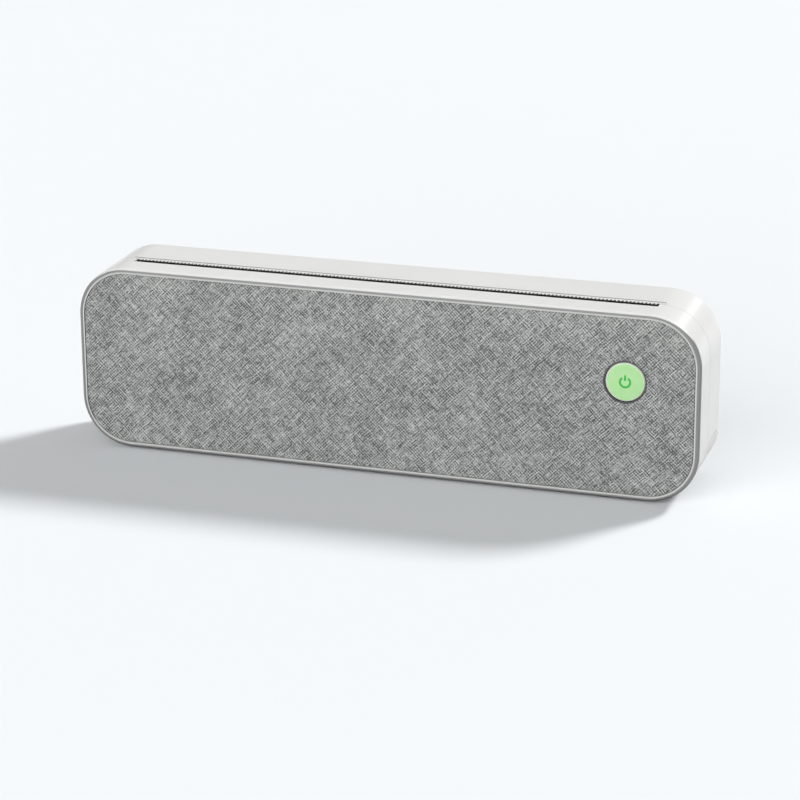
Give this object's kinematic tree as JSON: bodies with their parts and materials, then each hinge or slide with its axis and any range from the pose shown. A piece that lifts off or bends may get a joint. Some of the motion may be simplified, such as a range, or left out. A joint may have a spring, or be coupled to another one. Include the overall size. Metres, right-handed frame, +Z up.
{
  "type": "portable thermal printer",
  "caption": "Slim portable thermal printer for A4 rolls: cloth front, round power button, top paper slot with tear bar, hinged rear cover over the roll bay.",
  "frame": {"origin": "on the table under the middle of the printer", "axes": "+X along the paper slot, towards the power button's end; +Y from the cloth front to the hinged rear cover; +Z up"},
  "size_m": [0.2652, 0.0396, 0.0792],
  "materials": {
    "white_shell": "fine satin moulding",
    "trim_grey": "satin",
    "panel_grey": "plain",
    "melange_cloth": "woven melange",
    "green_cap": "translucent gloss",
    "black_plastic": "satin",
    "board_green": "solder mask",
    "steel": "ground",
    "spring_steel": "bright",
    "platen_rubber": "ground rubber",
    "acetal": "moulded acetal",
    "head_aluminium": "milled",
    "head_ceramic": "glazed",
    "motor_steel": "zinc plated",
    "battery_film": "shrink film",
    "chassis_white": "fine satin moulding",
    "foot_rubber": "matte"
  },
  "bodies": {
    "housing": {"front_shell": "white_shell", "slot_guide": "black_plastic", "front_trim_ring": "trim_grey", "front_panel": "panel_grey", "front_fabric": "melange_cloth", "button_collar": "black_plastic", "button_board": "board_green", "chassis": "chassis_white", "hinge_pins": "steel", "gear_posts": "steel", "gear_plate": "steel", "stepper_motor": "motor_steel", "head_pivot_rod": "steel", "head_spring_plate": "steel", "head_springs": "spring_steel", "main_board": "board_green", "charging_socket": "steel", "battery_pack": "battery_film", "shell_screws": "steel", "rubber_feet": "foot_rubber"},
    "cover": {"rear_cover": "white_shell", "tear_bar": "white_shell", "tear_bar_holder": "black_plastic", "platen_bushes": "acetal"},
    "platen": {"platen_shaft": "steel", "platen_roller": "platen_rubber", "platen_gear": "acetal"},
    "idler": {"idler_gear": "acetal"},
    "reduction": {"reduction_gear": "acetal"},
    "pinion": {"motor_pinion": "steel"},
    "head": {"head_heatsink": "head_aluminium", "print_head": "head_ceramic"},
    "button": {"power_button": "green_cap"},
    "guide": {"paper_guide": "white_shell"}
  },
  "joints": [
    {"name": "cover_hinge", "type": "hinge", "parent": "housing", "child": "cover", "pos_m": [0, 0.01815, 0.022], "axis": [-1, 0, 0], "range_deg": [0, 90]},
    {"name": "platen_spin", "type": "hinge", "parent": "cover", "child": "platen", "pos_m": [0, -0.00025, 0.064], "axis": [1, 0, 0], "continuous": true},
    {"name": "idler_spin", "type": "hinge", "parent": "housing", "child": "idler", "pos_m": [0.1131, -0.00778, 0.05309], "axis": [1, 0, 0], "continuous": true},
    {"name": "reduction_spin", "type": "hinge", "parent": "housing", "child": "reduction", "pos_m": [0.1146, -0.00171, 0.04337], "axis": [1, 0, 0], "continuous": true},
    {"name": "motor_spin", "type": "hinge", "parent": "housing", "child": "pinion", "pos_m": [0.1166, 0.00276, 0.02961], "axis": [1, 0, 0], "continuous": true},
    {"name": "head_tilt", "type": "hinge", "parent": "housing", "child": "head", "pos_m": [0, -0.0091, 0.0502], "axis": [1, 0, 0], "range_deg": [0, 1.5], "stiffness_Nm_per_rad": 2, "springref_deg": -5.73, "deforming": ["head_springs"]},
    {"name": "button_press", "type": "slide", "parent": "housing", "child": "button", "axis": [0, 1, 0], "range_m": [0, 0.0006], "stiffness_N_per_m": 1500, "springref_m": -0.0002},
    {"name": "guide_slide", "type": "slide", "parent": "housing", "child": "guide", "axis": [-1, 0, 0], "range_m": [0, 0.154]}
  ],
  "couplings": [
    {"joint": "idler_spin", "follows": "platen_spin", "ratio": -0.83333},
    {"joint": "reduction_spin", "follows": "platen_spin", "ratio": 1.4286},
    {"joint": "motor_spin", "follows": "platen_spin", "ratio": -3.4694}
  ]
}
